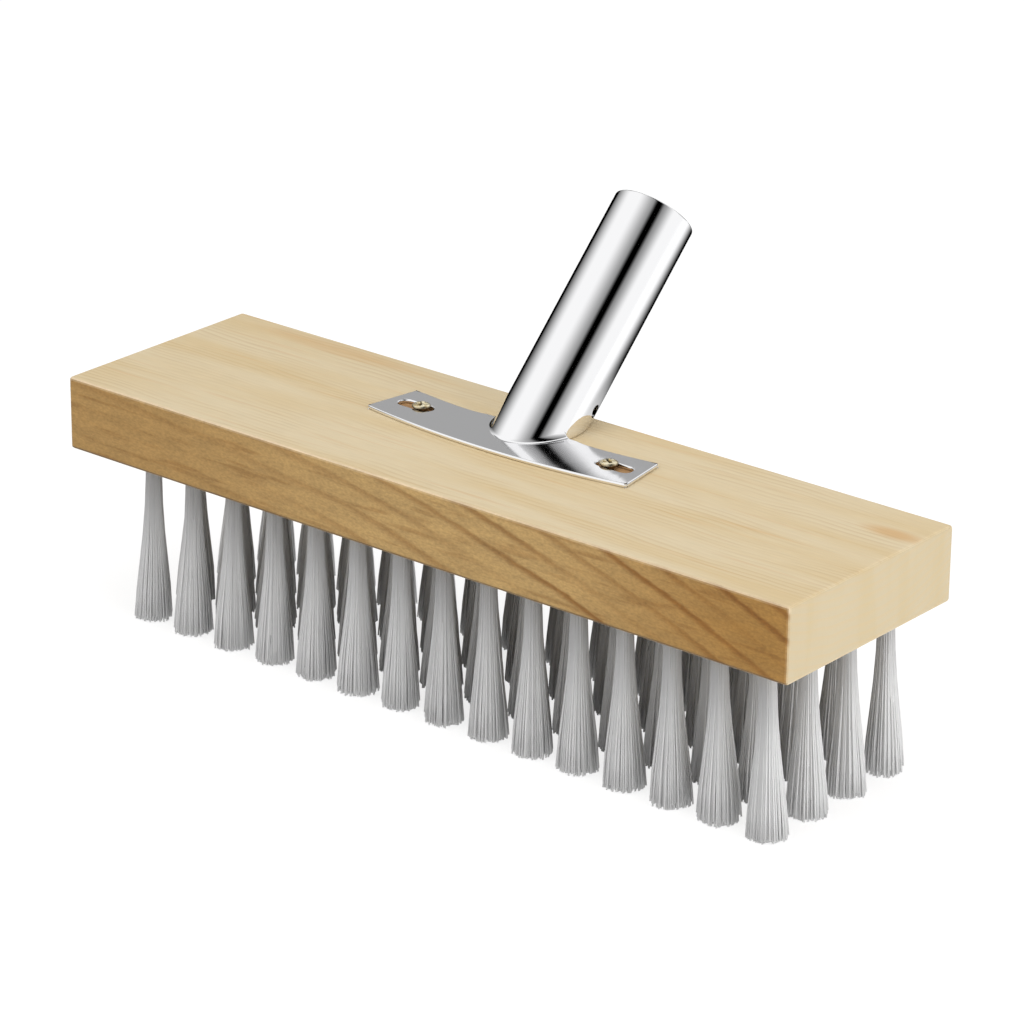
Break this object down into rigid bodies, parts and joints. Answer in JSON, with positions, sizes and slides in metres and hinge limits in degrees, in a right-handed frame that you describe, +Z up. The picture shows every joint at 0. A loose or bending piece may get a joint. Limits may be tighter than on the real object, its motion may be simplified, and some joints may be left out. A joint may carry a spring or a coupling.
{
  "type": "floor brush head",
  "caption": "Rectangular wooden floor brush head with rows of flared bristle tufts below and a plated, angled tube socket on top that takes a round handle.",
  "frame": {"origin": "on the floor under the middle of the whole head: halfway along the block, and halfway between the block's front face and the back of the socket's mouth", "axes": "+X along the block, +Y the way the handle leans back, +Z up from the bristle tips"},
  "size_m": [0.28, 0.1264, 0.1432],
  "materials": {
    "wood": "planed and sanded, unvarnished",
    "bristle": "stiff light-grey filament",
    "plated_steel": "bright plated sheet",
    "screw_brass": "yellow plated"
  },
  "bodies": {
    "root": {"block": "wood", "bristle_row_1": "bristle", "bristle_row_2": "bristle", "bristle_row_3": "bristle", "bristle_row_4": "bristle", "handle_socket": "plated_steel", "screw_left": "screw_brass", "screw_right": "screw_brass"}
  },
  "joints": []
}
